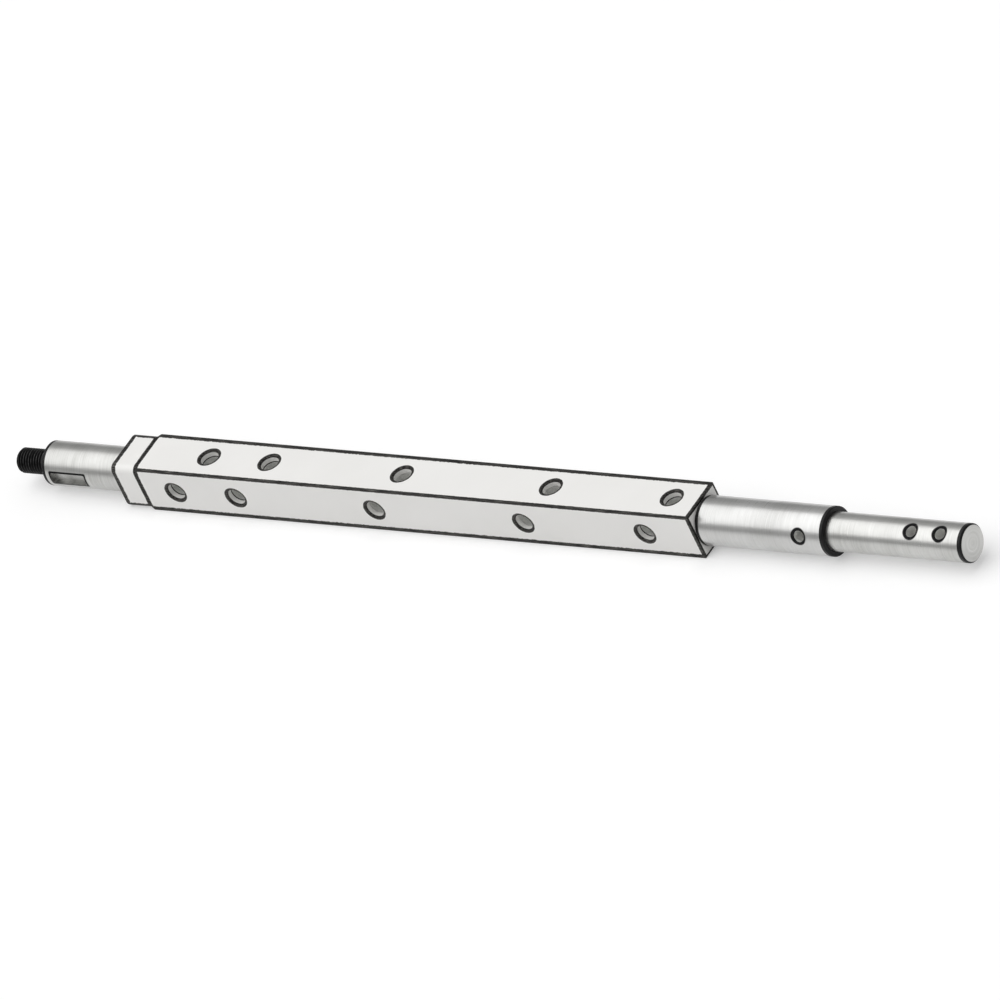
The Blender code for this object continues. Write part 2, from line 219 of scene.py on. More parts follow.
def satin_enamel(name, low_x, high_x, low_rub, high_rub, long_rubs, corner_radius, sharp):
    """Satin enamel, brushed on steel: white with a slight brush ripple, rubbed to dark steel on its edges.

    low_rub and high_rub say how far the rub reaches along X from the left and the right end. long_rubs holds
    each rubbed long edge as its side and level, each -1 or 1, and how far the rub reaches along Y and Z.
    Where sharp is true, bolt heads have rubbed a ring round each bolt hole too, and the rub follows the corners
    that are turned off at the left end.
    """
    material, tree, shader, place = new_finish(name)
    along_beam = add(tree, "ShaderNodeSeparateXYZ", {0: place}).outputs["X"]
    section = add(tree, "ShaderNodeVectorMath", {0: from_axis(tree, place)}, operation='ABSOLUTE').outputs[0]
    reach = add(tree, "ShaderNodeVectorMath", {0: section}, operation='LENGTH').outputs["Value"]
    # Height over the painted sides and their round corners, which is negative inside the bar.
    inset = BEAM_HALF - corner_radius
    flat_end = (inset, inset, inset)
    beyond = add(tree, "ShaderNodeVectorMath", {0: section, 1: flat_end}, operation='SUBTRACT').outputs[0]
    outer = add(tree, "ShaderNodeVectorMath", {0: beyond, 1: (0, 0, 0)}, operation='MAXIMUM').outputs[0]
    outer = add(tree, "ShaderNodeVectorMath", {0: outer}, operation='LENGTH').outputs["Value"]
    beyond = add(tree, "ShaderNodeSeparateXYZ", {0: beyond}).outputs
    inner = add(tree, "ShaderNodeMath", {0: beyond["Y"], 1: beyond["Z"]}, operation='MAXIMUM').outputs[0]
    inner = add(tree, "ShaderNodeMath", {0: inner, 1: 0.0}, operation='MINIMUM').outputs[0]
    over = add(tree, "ShaderNodeMath", {0: outer, 1: inner}, operation='ADD').outputs[0]
    over = add(tree, "ShaderNodeMath", {0: over, 1: corner_radius}, operation='SUBTRACT').outputs[0]
    # The left end stands further right where its corners are turned off.
    over_turned = add(tree, "ShaderNodeMath", {
        0: reach, 1: COLLAR_CORNER_REACH}, operation='SUBTRACT').outputs[0]
    turned_off = add(tree, "ShaderNodeMath", {0: over_turned, 1: 0.0}, operation='MAXIMUM').outputs[0]
    left = add(tree, "ShaderNodeMath", {
        0: turned_off, 1: BEAM_TURNING_SLOPE, 2: low_x}, operation='MULTIPLY_ADD').outputs[0]
    edges = [(left, over, low_rub), (high_x, over, high_rub)]
    rub = 0.0
    if sharp:
        edges.append((low_x, over_turned, high_rub))
        # The rings run into the holes as deep as the broken edge and a little more.
        deep = add(tree, "ShaderNodeMapRange", {
            "Value": over, "From Min": -1.8 * BOLT_HOLE_BREAK, "From Max": -1.3 * BOLT_HOLE_BREAK}).outputs[0]
        for holes, angle in ((TOP_HOLES, FROM_TOP), (FRONT_HOLES, FROM_FRONT)):
            ring = add(tree, "ShaderNodeMapRange", {
                "Value": gap_to_holes(tree, place, holes, angle),
                "From Min": BOLT_HOLE_RADIUS + (1 + RING_FADE) * HOLE_RING,
                "From Max": BOLT_HOLE_RADIUS + (1 - RING_FADE) * HOLE_RING}).outputs[0]
            ring = add(tree, "ShaderNodeMath", {0: ring, 1: deep}, operation='MULTIPLY').outputs[0]
            rub = add(tree, "ShaderNodeMath", {0: rub, 1: ring}, operation='MAXIMUM').outputs[0]
    # Each edge gives the way to it, and what turns that way into shares of the rub's reach.
    ways = []
    for side, level, rub_y, rub_z in long_rubs:
        corner = (0, side * BEAM_HALF, AXIS_Z + level * BEAM_HALF)
        way = add(tree, "ShaderNodeVectorMath", {0: place, 1: corner}, operation='SUBTRACT').outputs[0]
        ways.append((way, (0, 1 / rub_y, 1 / rub_z)))
    for end, outward, rub_x in edges:
        along = add(tree, "ShaderNodeMath", {0: along_beam, 1: end}, operation='SUBTRACT').outputs[0]
        way = add(tree, "ShaderNodeCombineXYZ", {"X": along, "Y": outward}).outputs[0]
        ways.append((way, (1 / rub_x, 1 / END_FACE_RUB, 0)))
    for way, shares in ways:
        share = add(tree, "ShaderNodeVectorMath", {0: way, 1: shares}, operation='MULTIPLY').outputs[0]
        share = add(tree, "ShaderNodeVectorMath", {0: share}, operation='LENGTH').outputs["Value"]
        worn = add(tree, "ShaderNodeMapRange", {
            "Value": share, "From Min": 1 + RUB_FADE, "From Max": 1 - RUB_FADE}).outputs[0]
        rub = add(tree, "ShaderNodeMath", {0: rub, 1: worn}, operation='MAXIMUM').outputs[0]
    # Chips along the edges are about 3 mm long.
    chips = add(tree, "ShaderNodeTexNoise", {
        "Vector": place, "Scale": 1 / (3 * MM), "Detail": 4.0, "Roughness": 0.6}).outputs[0]
    ragged = add(tree, "ShaderNodeMath", {0: chips, 1: 0.9, 2: rub}, operation='MULTIPLY_ADD').outputs[0]
    bare = add(tree, "ShaderNodeMapRange", {"Value": ragged, "From Min": 0.85, "From Max": 1.05}).outputs[0]

    # The coat is thicker and yellower in patches of about 60 mm.
    patches = add(tree, "ShaderNodeTexNoise", {
        "Vector": place, "Scale": 1 / (60 * MM), "Detail": 3.0}).outputs[0]
    coat = add(tree, "ShaderNodeMix", {
        0: patches, 6: colour("#F8F7F5"), 7: colour("#EFEEEB")}, data_type='RGBA').outputs[2]
    # Where the coat is gone, the steel is dark with paler scuffs along the beam, about 12 mm long.
    drag = add(tree, "ShaderNodeMapping", {
        "Vector": place, "Scale": (1 / (12 * MM), 1 / (0.8 * MM), 1 / (0.8 * MM))}).outputs[0]
    scuffs = add(tree, "ShaderNodeTexNoise", {"Vector": drag, "Scale": 1.0, "Detail": 4.0}).outputs[0]
    scuffs = add(tree, "ShaderNodeMapRange", {"Value": scuffs, "From Min": 0.45, "From Max": 0.8}).outputs[0]
    steel = add(tree, "ShaderNodeMix", {
        0: scuffs, 6: colour("#242322"), 7: colour("#6E6C68")}, data_type='RGBA').outputs[2]
    base = add(tree, "ShaderNodeMix", {0: bare, 6: coat, 7: steel}, data_type='RGBA').outputs[2]
    tree.links.new(base, shader.inputs["Base Color"])
    gloss = add(tree, "ShaderNodeMapRange", {"Value": patches, "To Min": 0.32, "To Max": 0.46}).outputs[0]
    rough = add(tree, "ShaderNodeMix", {0: bare, 2: gloss, 3: 0.5}).outputs[0]
    tree.links.new(rough, shader.inputs["Roughness"])
    metal = add(tree, "ShaderNodeMath", {0: bare, 1: 0.8}, operation='MULTIPLY').outputs[0]
    tree.links.new(metal, shader.inputs["Metallic"])
    # Brush ripple runs along the beam, about 2 mm across. Real bristle marks are finer, and wouldn't show.
    stroke = add(tree, "ShaderNodeMapping", {
        "Vector": place, "Scale": (1 / (40 * MM), 1 / (2 * MM), 1 / (2 * MM))}).outputs[0]
    ripple = add(tree, "ShaderNodeTexNoise", {"Vector": stroke, "Scale": 1.0, "Detail": 3.0}).outputs[0]
    film = add(tree, "ShaderNodeMath", {0: bare, 1: -0.8, 2: ripple}, operation='MULTIPLY_ADD').outputs[0]
    bump = add(tree, "ShaderNodeBump", {"Height": film, "Strength": 0.25, "Distance": 0.1 * MM}).outputs[0]
    tree.links.new(bump, shader.inputs["Normal"])
    shader.inputs["IOR"].default_value = 1.5
    return material


def pin_hole_rims(tree, place, holes, angle):
    """Where the rings round pin holes are."""
    gap = gap_to_holes(tree, place, holes, angle)
    return add(tree, "ShaderNodeMapRange", {
        "Value": gap, "From Min": PIN_HOLE_RADIUS + (1 + RING_FADE) * HOLE_RING,
        "From Max": PIN_HOLE_RADIUS + (1 - RING_FADE) * HOLE_RING}).outputs[0]


def spigot_black(tree, place):
    return pin_hole_rims(tree, place, SPIGOT_PIN_HOLES, SPIGOT_PIN_ANGLE)


def sleeve_black(tree, place):
    return pin_hole_rims(tree, place, [SLEEVE_PIN_HOLE], SLEEVE_PIN_ANGLE)


def journal_black(tree, place):
    """Where the rim of the keyway is, on the front half of the journal."""
    middle = (KEYWAY_X, 0, AXIS_Z)
    half = (KEYWAY_LENGTH / 2, JOURNAL_RADIUS, KEYWAY_WIDTH / 2)
    offset = add(tree, "ShaderNodeVectorMath", {0: place, 1: middle}, operation='SUBTRACT').outputs[0]
    front = add(tree, "ShaderNodeSeparateXYZ", {0: offset}).outputs["Y"]
    front = add(tree, "ShaderNodeMath", {0: front, 1: 0.0}, operation='LESS_THAN').outputs[0]
    beyond = add(tree, "ShaderNodeVectorMath", {0: offset}, operation='ABSOLUTE').outputs[0]
    beyond = add(tree, "ShaderNodeVectorMath", {0: beyond, 1: half}, operation='SUBTRACT').outputs[0]
    beyond = add(tree, "ShaderNodeVectorMath", {0: beyond, 1: (0, 0, 0)}, operation='MAXIMUM').outputs[0]
    gap = add(tree, "ShaderNodeVectorMath", {0: beyond}, operation='LENGTH').outputs["Value"]
    rim = add(tree, "ShaderNodeMapRange", {
        "Value": gap, "From Min": (1 + RING_FADE) * KEYWAY_RIM,
        "From Max": (1 - RING_FADE) * KEYWAY_RIM}).outputs[0]
    return add(tree, "ShaderNodeMath", {0: rim, 1: front}, operation='MULTIPLY').outputs[0]


def machined_steel(name, light, dull, rough_low, rough_high, grain, patch, black=None):
    """Machined bar steel: fine tool marks that streak the reflections, and a faint uneven dulling.

    grain holds the size of the tool marks along X, Y and Z, and patch the size of the dull areas. On an end
    face the marks are rings, drawn coarser than a real cut so that they show. black(tree, place) gives where
    the steel is black.
    """
    material, tree, shader, place = new_finish(name)
    radius = add(tree, "ShaderNodeVectorMath", {0: from_axis(tree, place)}, operation='LENGTH').outputs["Value"]
    rings = add(tree, "ShaderNodeMath", {0: radius, 1: 0.4}, operation='MULTIPLY').outputs[0]
    rings = add(tree, "ShaderNodeCombineXYZ", {"X": rings}).outputs[0]
    path = add(tree, "ShaderNodeVectorMath", {0: place, 1: rings}, operation='ADD').outputs[0]
    path = add(tree, "ShaderNodeMapping", {
        "Vector": path, "Scale": tuple(1 / size for size in grain)}).outputs[0]
    marks = add(tree, "ShaderNodeTexNoise", {"Vector": path, "Scale": 1.0, "Detail": 3.0}).outputs[0]
    patches = add(tree, "ShaderNodeTexNoise", {"Vector": place, "Scale": 1 / patch, "Detail": 4.0}).outputs[0]
    blend = add(tree, "ShaderNodeMath", {0: marks, 1: patches}, operation='MULTIPLY').outputs[0]
    tone = add(tree, "ShaderNodeMapRange", {"Value": blend, "From Min": 0.1, "From Max": 0.45}).outputs[0]
    base = add(tree, "ShaderNodeMix", {
        0: tone, 6: colour(light), 7: colour(dull)}, data_type='RGBA').outputs[2]
    if black:
        base = add(tree, "ShaderNodeMix", {
            0: black(tree, place), 6: base, 7: colour("#1C1C1D")}, data_type='RGBA').outputs[2]
    tree.links.new(base, shader.inputs["Base Color"])
    rough = add(tree, "ShaderNodeMapRange", {
        "Value": marks, "From Min": 0.3, "From Max": 0.7,
        "To Min": rough_low, "To Max": rough_high}).outputs[0]
    tree.links.new(rough, shader.inputs["Roughness"])
    bump = add(tree, "ShaderNodeBump", {"Height": marks, "Strength": 0.12, "Distance": 0.03 * MM}).outputs[0]
    tree.links.new(bump, shader.inputs["Normal"])
    shader.inputs["Metallic"].default_value = 1.0
    return material


def black_oxide(name, rubbed_radius):
    """Black oxide on steel: near-black with an oily sheen, rubbed to grey in spots near rubbed_radius."""
    material, tree, shader, place = new_finish(name)
    radius = add(tree, "ShaderNodeVectorMath", {0: from_axis(tree, place)}, operation='LENGTH').outputs["Value"]
    crest = add(tree, "ShaderNodeMapRange", {
        "Value": radius, "From Min": rubbed_radius - OXIDE_RUB_DEPTH, "From Max": rubbed_radius}).outputs[0]
    # Rubbed spots are about 4 mm long.
    spots = add(tree, "ShaderNodeTexNoise", {
        "Vector": place, "Scale": 1 / (4 * MM), "Detail": 4.0}).outputs[0]
    rubbed = add(tree, "ShaderNodeMath", {0: crest, 1: spots}, operation='MULTIPLY').outputs[0]
    rubbed = add(tree, "ShaderNodeMapRange", {"Value": rubbed, "From Min": 0.35, "From Max": 0.65}).outputs[0]
    base = add(tree, "ShaderNodeMix", {
        0: rubbed, 6: colour("#161617"), 7: colour("#5A5A5A")}, data_type='RGBA').outputs[2]
    tree.links.new(base, shader.inputs["Base Color"])
    rough = add(tree, "ShaderNodeMapRange", {"Value": spots, "To Min": 0.34, "To Max": 0.52}).outputs[0]
    tree.links.new(rough, shader.inputs["Roughness"])
    bump = add(tree, "ShaderNodeBump", {"Height": spots, "Strength": 0.2, "Distance": 0.05 * MM}).outputs[0]
    tree.links.new(bump, shader.inputs["Normal"])
    shader.inputs["Metallic"].default_value = 0.6
    return material


# The upper back edges are rubbed further in on the top, and the lower front edges on the front.
BEAM_LONG_RUBS = [
    (-1, 1, BEAM_EDGE_RUB, BEAM_EDGE_RUB), (1, 1, BEAM_WIDE_RUB, BEAM_EDGE_RUB),
    (-1, -1, BEAM_EDGE_RUB, BEAM_WIDE_RUB), (1, -1, BEAM_EDGE_RUB, BEAM_EDGE_RUB)]
COLLAR_LONG_RUBS = [
    (1, 1, COLLAR_WIDE_RUB, COLLAR_EDGE_RUB), (-1, -1, COLLAR_EDGE_RUB, COLLAR_WIDE_RUB)]
BEAM_ENAMEL = satin_enamel("beam_white_satin_enamel", BEAM_LOW.x, BEAM_HIGH.x, JOINT_RUB, BEAM_END_RUB,
                           BEAM_LONG_RUBS, BEAM_EDGE_RADIUS, True)
COLLAR_ENAMEL = satin_enamel("collar_white_satin_enamel", COLLAR_LOW.x, COLLAR_HIGH.x, COLLAR_END_RUB,
                             JOINT_RUB, COLLAR_LONG_RUBS, COLLAR_CORNER_RADIUS, False)
TURNED_JOURNAL = machined_steel("journal_fine_turned_steel", "#C9C9C7", "#A9A9A6", 0.28, 0.40,
                                (0.7 * MM, 40 * MM, 40 * MM), 30 * MM, journal_black)
BRIGHT_BAR = machined_steel("spigot_bright_turned_bar", "#CDCDCB", "#AFAFAC", 0.27, 0.38,
                            (0.8 * MM, 40 * MM, 40 * MM), 35 * MM, spigot_black)
GROUND_SLEEVE = machined_steel("sleeve_ground_steel", "#CECECD", "#B3B3B1", 0.27, 0.37,
                               (0.5 * MM, 30 * MM, 30 * MM), 40 * MM, sleeve_black)
MILLED_PLUG = machined_steel("plug_milled_steel", "#C4C4C2", "#A0A09D", 0.28, 0.44,
                             (25 * MM, 1.2 * MM, 1.2 * MM), 30 * MM)
KEYWAY_CUT = machined_steel("keyway_milled_steel", "#B5B5B3", "#8F8F8C", 0.28, 0.42,
                            (1.0 * MM, 8 * MM, 1.0 * MM), 12 * MM)
# Zinc plate scatters light, so the holes stay pale inside.
DULL_ZINC = ("#F0F0EE", "#E2E2E0", 0.7, 0.85)
ZINC_GRAIN = 0.8 * MM
DRILLED_BORE = machined_steel("bolt_hole_dull_zinc_plate", *DULL_ZINC,
                              (ZINC_GRAIN, ZINC_GRAIN, ZINC_GRAIN), 12 * MM)
PIN_BORE = machined_steel("pin_hole_dull_zinc_plate", *DULL_ZINC,
                          (ZINC_GRAIN, ZINC_GRAIN, ZINC_GRAIN), 10 * MM)
DRAWN_TUBE = machined_steel("tube_dull_zinc_plate", *DULL_ZINC,
                            (ZINC_GRAIN, ZINC_GRAIN, 6 * MM), 15 * MM)
# The thread's crests are rubbed more than the edges, where the rub would be full only over the surface.
STUD_OXIDE = black_oxide("stud_black_oxide", STUD_RADIUS)
SLEEVE_OXIDE = black_oxide("sleeve_edge_black_oxide", SLEEVE_RADIUS + OXIDE_EDGE_SPARE)
SPIGOT_OXIDE = black_oxide("spigot_edge_black_oxide", SPIGOT_RADIUS + OXIDE_EDGE_SPARE)
JOURNAL_OXIDE = black_oxide("journal_edge_black_oxide", JOURNAL_RADIUS + OXIDE_EDGE_SPARE)


# Modelling.

def only(obj):
    """Select one object and make it active."""
    bpy.ops.object.select_all(action='DESELECT')
    obj.select_set(True)
    bpy.context.view_layer.objects.active = obj


def turned(name, profile, finish, lay, steps=ROUND_STEPS):
    """Turn a piece along Z from (place, radius) points, then lay it in place.

    A circle is extruded from point to point. A profile that comes back to its first point makes a tube.
    """
    tube = profile[0] == profile[-1]
    place, radius = profile[0]
    bpy.ops.object.select_all(action='DESELECT')
    bpy.ops.mesh.primitive_circle_add(vertices=steps, radius=radius, location=(0, 0, place),
                                      fill_type='NOTHING' if tube else 'NGON')
    obj = bpy.context.object
    obj.name = obj.data.name = name
    bpy.ops.object.transform_apply(location=True, rotation=True, scale=True)
    bpy.ops.object.mode_set(mode='EDIT')
    bpy.ops.mesh.select_mode(type='VERT')
    bpy.ops.mesh.select_all(action='SELECT')
    for next_place, next_radius in profile[1:]:
        bpy.ops.mesh.extrude_region_move(TRANSFORM_OT_translate={"value": (0, 0, next_place - place)})
        ratio = next_radius / radius
        bpy.ops.transform.resize(value=(ratio, ratio, 1), center_override=(0, 0, next_place))
        place, radius = next_place, next_radius
    bpy.ops.mesh.select_all(action='SELECT')
    if tube:
        bpy.ops.mesh.remove_doubles(threshold=MERGE_DISTANCE)
    bpy.ops.mesh.normals_make_consistent(inside=False)
    bpy.ops.object.mode_set(mode='OBJECT')
    obj.matrix_world = lay
    bpy.ops.object.transform_apply(location=True, rotation=True, scale=True)
    obj.data.materials.append(finish)
    return obj


def bevel_where(obj, chosen, width, steps):
    """Bevel the edges that chosen(first end, second end) picks."""
    only(obj)
    bpy.ops.object.mode_set(mode='EDIT')
    bpy.ops.mesh.select_mode(type='EDGE')
    bpy.ops.mesh.select_all(action='DESELECT')
    bm = bmesh.from_edit_mesh(obj.data)
    for edge in bm.edges:
        if chosen(edge.verts[0].co, edge.verts[1].co):
            edge.select_set(True)
    bmesh.update_edit_mesh(obj.data)
    bpy.ops.mesh.bevel(offset_type='OFFSET', offset=width, segments=steps, profile=0.5, affect='EDGES')
    bpy.ops.object.mode_set(mode='OBJECT')


def squared(name, low_x, high_x, half, corner, corner_steps, finish, breaks=()):
    """Square bar on the beam's axis with round long edges. breaks holds (end's x, width) pairs."""
    bpy.ops.object.select_all(action='DESELECT')
    bpy.ops.mesh.primitive_cube_add(size=1, location=((low_x + high_x) / 2, 0, AXIS_Z),
                                    scale=(high_x - low_x, 2 * half, 2 * half))
    obj = bpy.context.object
    obj.name = obj.data.name = name
    bpy.ops.object.transform_apply(location=True, rotation=True, scale=True)
    bevel_where(obj, lambda a, b: abs(a.x - b.x) > half / 2, corner, corner_steps)
    for x, width in breaks:
        bevel_where(obj, lambda a, b: abs(a.x - x) < FIT_GAP and abs(b.x - x) < FIT_GAP, width, 2)
    obj.data.materials.append(finish)
    return obj


def finish_where(obj, chosen, finish):
    """Give a finish to the faces that chosen(middle, normal) picks."""
    only(obj)
    if obj.data.materials.find(finish.name) < 0:
        obj.data.materials.append(finish)
    obj.active_material_index = obj.data.materials.find(finish.name)
    bpy.ops.object.mode_set(mode='EDIT')
    bpy.ops.mesh.select_mode(type='FACE')
    bpy.ops.mesh.select_all(action='DESELECT')
    bm = bmesh.from_edit_mesh(obj.data)
    for face in bm.faces:
        if chosen(face.calc_center_median(), face.normal):
            face.select_set(True)
    bmesh.update_edit_mesh(obj.data)
    bpy.ops.object.material_slot_assign()
    bpy.ops.object.mode_set(mode='OBJECT')


def across(x, angle):
    """Lay for a drill whose axis crosses the beam's at x, at an angle up from the front."""
    return Matrix.Translation((x, 0, AXIS_Z)) @ Matrix.Rotation(math.pi / 2 - angle, 4, 'X')


def drill(x, angle, radius, half_depth, width, finish, rim):
    """Through drill that also breaks the edge of both mouths, width wide, half_depth from the axis.

    The hole gets one finish, and its broken edges get the rim's.
    """
    flare = radius + width + OVERRUN
    profile = [(-half_depth - OVERRUN, flare), (width - half_depth, radius),
               (half_depth - width, radius), (half_depth + OVERRUN, flare)]
    tool = turned("drill", profile, finish, across(x, angle), HOLE_STEPS)
    axis = Vector((0, -math.cos(angle), math.sin(angle)))
    finish_where(tool, lambda middle, normal: 0.2 < abs(normal.dot(axis)) < 0.98, rim)
    return tool


def bolt_drills(tops, fronts, half_depth, width, finish, rim):
    return [drill(x, FROM_TOP, BOLT_HOLE_RADIUS, half_depth, width, finish, rim) for x in tops] + [
        drill(x, FROM_FRONT, BOLT_HOLE_RADIUS, half_depth, width, finish, rim) for x in fronts]


def pin_drill(x, angle, half_depth, rim):
    return drill(x, angle, PIN_HOLE_RADIUS, half_depth, PIN_HOLE_BREAK, PIN_BORE, rim)


def combine(obj, operation, tools):
    """Join the tools into one, and cut them from the piece, add them to it or keep what they share."""
    only(tools[0])
    for tool in tools[1:]:
        tool.select_set(True)
    if len(tools) > 1:
        bpy.ops.object.join()
    tool = bpy.context.object
    only(obj)
    boolean = obj.modifiers.new("combine", 'BOOLEAN')
    boolean.operation = operation
    boolean.object = tool
    boolean.solver = 'EXACT'
    boolean.material_mode = 'TRANSFER'
    bpy.ops.object.modifier_apply(modifier=boolean.name)
    bpy.data.objects.remove(tool, do_unlink=True)


def seat(obj, body, node):
    """Shade the piece, and put it in place of its solid."""
    only(obj)
    bpy.ops.object.shade_smooth_by_angle(angle=SMOOTH_ANGLE)
    normals = obj.modifiers.new("flat_faces_keep_flat", 'WEIGHTED_NORMAL')
    normals.keep_sharp = True
    bpy.ops.object.modifier_apply(modifier=normals.name)
    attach(obj, body)
    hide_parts(node)


# Beam: hollow square section, cross-drilled from its top and its front.

beam = squared("white_square_beam", BEAM_LOW.x, BEAM_HIGH.x, BEAM_HALF, BEAM_EDGE_RADIUS, EDGE_STEPS,
               BEAM_ENAMEL, [(BEAM_LOW.x, BEAM_END_BREAK), (BEAM_HIGH.x, BEAM_END_BREAK)])
outside = CORNER_REACH + OVERRUN
combine(beam, 'INTERSECT', [turned("corner_turning", [
    (BEAM_LOW.x - OVERRUN * BEAM_TURNING_SLOPE, COLLAR_CORNER_REACH - OVERRUN),
    (BEAM_LOW.x + (outside - COLLAR_CORNER_REACH) * BEAM_TURNING_SLOPE, outside),
    (BEAM_HIGH.x + OVERRUN, outside)], BEAM_ENAMEL, ALONG_BEAM)])
combine(beam, 'DIFFERENCE', [squared("beam_bore", BEAM_LOW.x - OVERRUN, BEAM_HIGH.x + OVERRUN, BORE_HALF,
                                     BORE_CORNER_RADIUS, CORNER_STEPS, DRAWN_TUBE)])
combine(beam, 'DIFFERENCE', bolt_drills(TOP_HOLES, FRONT_HOLES, BEAM_HALF, BOLT_HOLE_BREAK,
                                        BEAM_ENAMEL, BEAM_ENAMEL))
seat(beam, "beam", "beam_tube")

# Bolt sleeves: tubes between the beam's walls, round the holes that no plug fills.

sleeve_half = BORE_HALF - FIT_GAP
sleeve_outer = BOLT_HOLE_RADIUS + BOLT_SLEEVE_WALL
BOLT_SLEEVE_PROFILE = [
    (-sleeve_half, sleeve_outer - BOLT_SLEEVE_BREAK), (BOLT_SLEEVE_BREAK - sleeve_half, sleeve_outer),
    (sleeve_half - BOLT_SLEEVE_BREAK, sleeve_outer), (sleeve_half, sleeve_outer - BOLT_SLEEVE_BREAK),
    (sleeve_half, BOLT_HOLE_RADIUS), (-sleeve_half, BOLT_HOLE_RADIUS),
    (-sleeve_half, sleeve_outer - BOLT_SLEEVE_BREAK)]
plain_liner = turned("plain_hole_liner", BOLT_SLEEVE_PROFILE, DRAWN_TUBE, Matrix(), HOLE_STEPS)
for row, holes, angle in (("top", TOP_HOLES, FROM_TOP), ("front", FRONT_HOLES, FROM_FRONT)):
    for i in (1, 2):
        only(plain_liner)
        bpy.ops.object.duplicate(linked=False)
        liner = bpy.context.object
        liner.name = liner.data.name = f"{row}_hole_liner_{i}"
        liner.matrix_world = across(holes[i + 1], angle)
        bpy.ops.object.transform_apply(location=True, rotation=True, scale=True)
        seat(liner, "beam", f"{row}_bolt_sleeve_{i}")
bpy.data.objects.remove(plain_liner, do_unlink=True)

# Drive end: a keyed journal with a square plug, a square collar on it, and a threaded stud in its end.

stud_bore = STUD_RADIUS + FIT_GAP
journal_edge = DRIVE_LOW.x + SHAFT_BREAK + BLACK_EDGE
journal_end = BEAM_LOW.x - FIT_GAP
plug_start = BEAM_LOW.x + RELIEF_LENGTH
journal = turned("keyed_journal", [
    (STUD_HIGH.x + FIT_GAP, stud_bore), (DRIVE_LOW.x, stud_bore),
    (DRIVE_LOW.x, JOURNAL_RADIUS - SHAFT_BREAK), (DRIVE_LOW.x + SHAFT_BREAK, JOURNAL_RADIUS),
    (journal_edge, JOURNAL_RADIUS), (journal_end, JOURNAL_RADIUS),
    (journal_end, RELIEF_RADIUS), (plug_start + OVERRUN, RELIEF_RADIUS)], TURNED_JOURNAL, ALONG_BEAM)
finish_where(journal, lambda middle, normal: middle.x < journal_edge and normal.x > -0.9, JOURNAL_OXIDE)
combine(journal, 'UNION', [squared("drive_plug", plug_start, DRIVE_HIGH.x, PLUG_HALF, PLUG_CORNER_RADIUS,
                                   CORNER_STEPS, MILLED_PLUG, [(DRIVE_HIGH.x, PLUG_LEAD_IN)])])
combine(journal, 'DIFFERENCE', bolt_drills(TOP_HOLES[:2], FRONT_HOLES[:2], PLUG_HALF, PLUG_HOLE_BREAK,
                                           DRILLED_BORE, JOURNAL_OXIDE))
bpy.ops.object.select_all(action='DESELECT')
bpy.ops.mesh.primitive_cube_add(size=1, location=(KEYWAY_X, -JOURNAL_RADIUS, AXIS_Z),
                                scale=(KEYWAY_LENGTH, 2 * KEYWAY_DEPTH, KEYWAY_WIDTH))
keyway = bpy.context.object
bpy.ops.object.transform_apply(location=True, rotation=True, scale=True)
bevel_where(keyway, lambda a, b: abs(a.y - b.y) > KEYWAY_DEPTH, KEYWAY_CORNER_RADIUS, EDGE_STEPS)
keyway.data.materials.append(KEYWAY_CUT)
combine(journal, 'DIFFERENCE', [keyway])
seat(journal, "drive_end", "drive_stub")

collar = squared("white_square_collar", COLLAR_LOW.x, COLLAR_HIGH.x, BEAM_HALF, COLLAR_CORNER_RADIUS,
                 CORNER_STEPS, COLLAR_ENAMEL,
                 [(COLLAR_LOW.x, COLLAR_END_BREAK), (COLLAR_HIGH.x, COLLAR_END_BREAK)])
collar_bore = JOURNAL_RADIUS + FIT_GAP
combine(collar, 'DIFFERENCE', [turned("collar_bore", [
    (COLLAR_LOW.x - OVERRUN, collar_bore), (COLLAR_HIGH.x + OVERRUN, collar_bore)], DRAWN_TUBE, ALONG_BEAM)])
seat(collar, "drive_end", "square_collar")

# The thread is a Screw of one pitch of its outline, closed to a point at its ends and cut to the stud's shape.

turns = math.ceil((STUD_HIGH.x - STUD_LOW.x) / THREAD_PITCH) + 2
root = STUD_RADIUS - THREAD_DEPTH
flat = THREAD_PITCH / 8
flank = (THREAD_PITCH - 3 * flat) / 2
outline = [(0, STUD_RADIUS), (flat, STUD_RADIUS), (flat + flank, root), (3 * flat + flank, root),
           (THREAD_PITCH, STUD_RADIUS)]
bpy.ops.object.select_all(action='DESELECT')
bpy.ops.mesh.primitive_plane_add(size=1)
thread = bpy.context.object
thread.name = thread.data.name = "black_threaded_stud"
bpy.ops.object.mode_set(mode='EDIT')
bpy.ops.mesh.select_mode(type='VERT')
bpy.ops.mesh.select_all(action='SELECT')
bpy.ops.mesh.merge(type='CENTER')
place, radius = 0, 0
for next_place, next_radius in outline:
    move = (next_radius - radius, 0, next_place - place)
    if next_place == 0:
        bpy.ops.transform.translate(value=move)
    else:
        bpy.ops.mesh.extrude_vertices_move(TRANSFORM_OT_translate={"value": move})
    place, radius = next_place, next_radius
bpy.ops.object.mode_set(mode='OBJECT')
screw = thread.modifiers.new("wind", 'SCREW')
screw.screw_offset = THREAD_PITCH
screw.iterations = turns
screw.steps = THREAD_STEPS
screw.render_steps = THREAD_STEPS
only(thread)
bpy.ops.object.modifier_apply(modifier=screw.name)
bpy.ops.object.mode_set(mode='EDIT')
bpy.ops.mesh.select_all(action='SELECT')
bpy.ops.mesh.remove_doubles(threshold=MERGE_DISTANCE)
bpy.ops.mesh.select_mode(type='EDGE')
middle = (turns + 1) * THREAD_PITCH / 2
